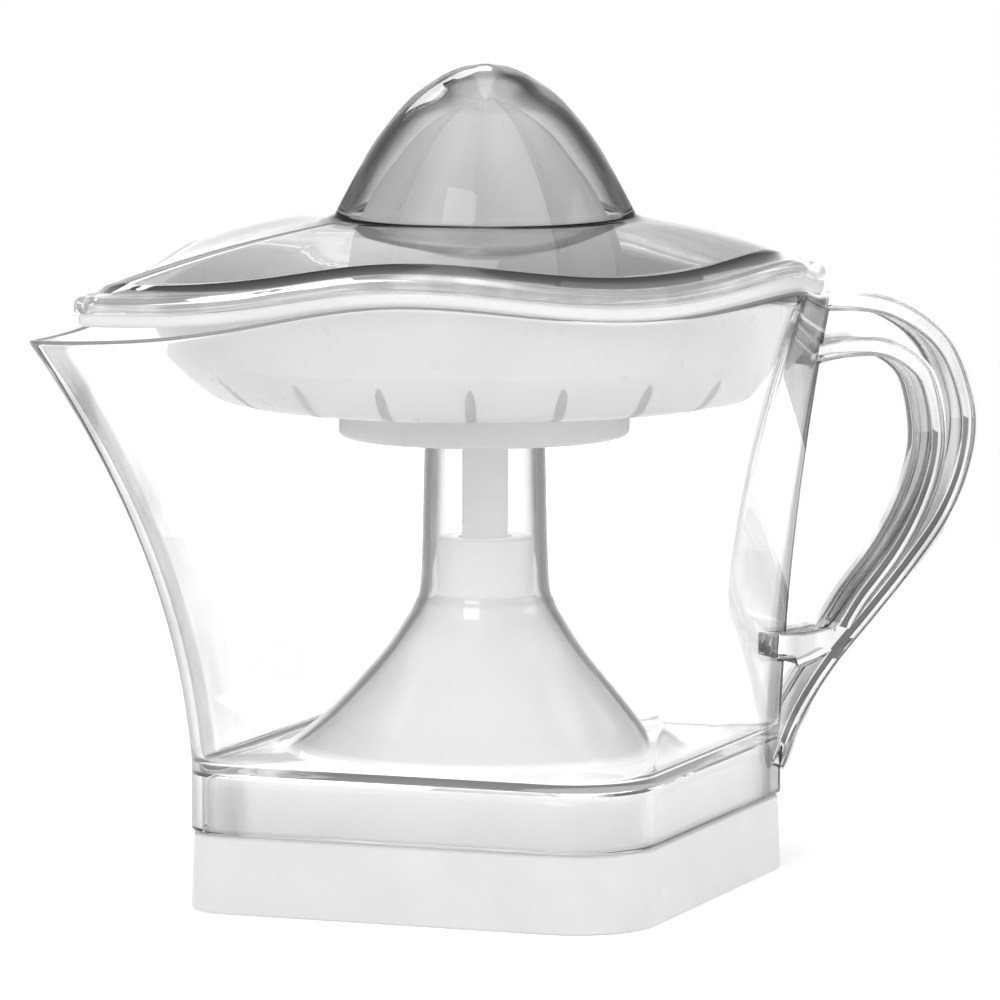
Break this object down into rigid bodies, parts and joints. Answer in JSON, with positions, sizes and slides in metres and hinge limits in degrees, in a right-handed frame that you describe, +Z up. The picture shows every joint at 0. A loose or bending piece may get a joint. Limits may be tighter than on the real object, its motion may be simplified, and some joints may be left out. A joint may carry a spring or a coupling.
{
  "type": "citrus press juicer",
  "caption": "Electric citrus press: square motor base, clear lidded jug with pouring spout and looped handle, slotted strainer and ribbed spinning reamer.",
  "frame": {"origin": "on the drive axis, in the plane of the resting face under the base", "axes": "+Z up along the drive axis, +X towards the jug's handle, -X towards its spout; the square base is turned 45 degrees about Z"},
  "size_m": [0.2815, 0.1784, 0.2283],
  "materials": {
    "white_plastic": "polished",
    "inner_plastic": "moulded",
    "clear_plastic": "polished, clear",
    "steel": "ground",
    "zinc_plate": "stamped",
    "laminations": "stacked sheets",
    "copper": "enamelled wire",
    "bronze": "sintered",
    "nylon": "moulded",
    "magnet": "sintered",
    "black_plastic": "moulded",
    "rubber": "soft"
  },
  "bodies": {
    "base": {"motor_housing": "white_plastic", "drive_tower": "white_plastic", "bottom_cover": "inner_plastic", "rubber_feet": "rubber", "cover_screws": "steel", "cord_gland": "white_plastic", "gear_plate": "zinc_plate", "plate_screws": "steel", "lower_bush": "bronze", "gear_pins": "steel", "gear_cover": "inner_plastic", "gear_cover_screws": "steel", "stator_core": "laminations", "coil_bobbins": "nylon", "stator_coils": "copper", "terminal_block": "nylon", "switch_body": "black_plastic", "return_spring": "steel", "shaft_bush": "bronze", "shaft_seal": "rubber"},
    "press_pad": {"thrust_pad": "nylon"},
    "drive": {"drive_shaft": "steel", "output_gear": "nylon"},
    "switch_arm": {"switch_lever": "steel"},
    "rotor": {"rotor_magnet": "magnet", "rotor_shaft": "steel", "rotor_pinion": "nylon"},
    "idler_1": {"idler_gear_1": "nylon"},
    "idler_2": {"idler_gear_2": "nylon"},
    "jug_body": {"jug": "clear_plastic", "jug_chimney": "clear_plastic", "jug_handle": "clear_plastic"},
    "strainer_body": {"strainer": "white_plastic", "strainer_collar": "white_plastic"},
    "reamer_carrier": {"reamer_stem": "white_plastic"},
    "reamer_body": {"reamer": "white_plastic"},
    "lid_body": {"lid": "clear_plastic"}
  },
  "joints": [
    {"name": "press_down", "type": "slide", "parent": "base", "child": "press_pad", "axis": [0, 0, 1], "range_m": [-0.0025, 0], "stiffness_N_per_m": 2500, "springref_m": 0.002, "deforming": ["return_spring"]},
    {"name": "drive_spin", "type": "hinge", "parent": "press_pad", "child": "drive", "pos_m": [0, 0, 0.04], "axis": [0, 0, 1], "continuous": true},
    {"name": "switch_tilt", "type": "hinge", "parent": "base", "child": "switch_arm", "pos_m": [-0.01838, 0.01838, 0.012], "axis": [0.7071, 0.7071, 0], "range_deg": [0, 14.7]},
    {"name": "rotor_spin", "type": "hinge", "parent": "base", "child": "rotor", "pos_m": [0.05091, 0, 0.014], "axis": [0, 0, 1], "continuous": true},
    {"name": "idler_1_spin", "type": "hinge", "parent": "base", "child": "idler_1", "pos_m": [0.02592, -0.01022, 0.03], "axis": [0, 0, 1], "continuous": true},
    {"name": "idler_2_spin", "type": "hinge", "parent": "base", "child": "idler_2", "pos_m": [0.00675, -0.02923, 0.036], "axis": [0, 0, 1], "continuous": true},
    {"name": "jug_lift", "type": "slide", "parent": "base", "child": "jug_body", "axis": [0, 0, 1], "range_m": [0, 0.18]},
    {"name": "strainer_lift", "type": "slide", "parent": "jug_body", "child": "strainer_body", "axis": [0, 0, 1], "range_m": [0, 0.08]},
    {"name": "reamer_press", "type": "slide", "parent": "strainer_body", "child": "reamer_carrier", "axis": [0, 0, 1], "range_m": [-0.0025, 0]},
    {"name": "reamer_spin", "type": "hinge", "parent": "reamer_carrier", "child": "reamer_body", "pos_m": [0, 0, 0.15], "axis": [0, 0, 1], "continuous": true},
    {"name": "lid_lift", "type": "slide", "parent": "strainer_body", "child": "lid_body", "axis": [0, 0, 1], "range_m": [0, 0.08]}
  ],
  "couplings": [
    {"joint": "switch_tilt", "follows": "press_down", "rad_per_m": -102},
    {"joint": "reamer_press", "follows": "press_down", "ratio": 1},
    {"joint": "idler_1_spin", "follows": "rotor_spin", "ratio": -0.28571},
    {"joint": "idler_2_spin", "follows": "rotor_spin", "ratio": 0.081633},
    {"joint": "drive_spin", "follows": "rotor_spin", "ratio": -0.020408},
    {"joint": "reamer_spin", "follows": "rotor_spin", "ratio": -0.020408}
  ]
}
